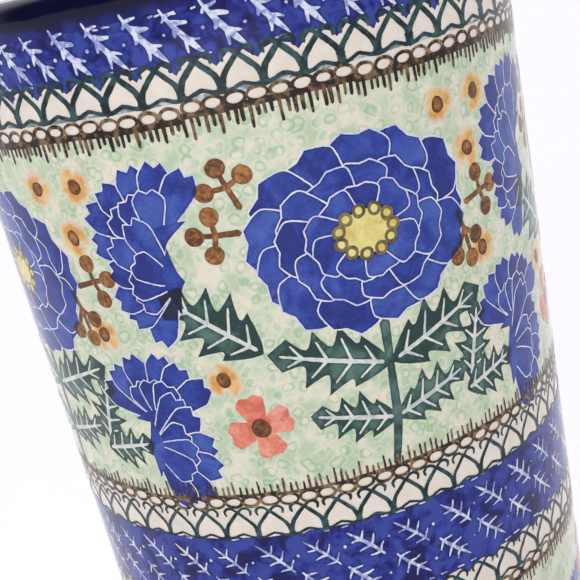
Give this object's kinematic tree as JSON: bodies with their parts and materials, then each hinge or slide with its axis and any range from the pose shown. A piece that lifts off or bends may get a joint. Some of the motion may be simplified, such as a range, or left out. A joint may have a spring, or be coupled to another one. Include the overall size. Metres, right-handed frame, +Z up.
{
  "type": "stoneware mug",
  "caption": "Tall, slightly tapered glazed stoneware mug with bands of painted flowers, a rounded lip, a bare standing ring and an oval strap handle.",
  "frame": {"origin": "centre of the standing ring, on the plane that the mug stands on, on the cup's axis", "axes": "+Z up along the cup's axis, +Y towards the handle, +X to the right seen from the side opposite the handle"},
  "size_m": [0.091, 0.122, 0.156],
  "materials": {
    "bare_stoneware": "fired, unglazed, fine-grained",
    "joining_slip": "fired slip, sponged smooth",
    "painted_glaze": "cream and mint ground with cobalt, green and brown painting under clear gloss glaze",
    "liner_glaze": "cream gloss glaze",
    "handle_glaze": "cobalt under clear gloss glaze"
  },
  "bodies": {
    "root": {"mug_body": "bare_stoneware", "handle": "bare_stoneware", "upper_slip_joint": "joining_slip", "lower_slip_joint": "joining_slip", "outer_glaze": "painted_glaze", "liner_glaze": "liner_glaze", "handle_glaze": "handle_glaze"}
  },
  "joints": []
}
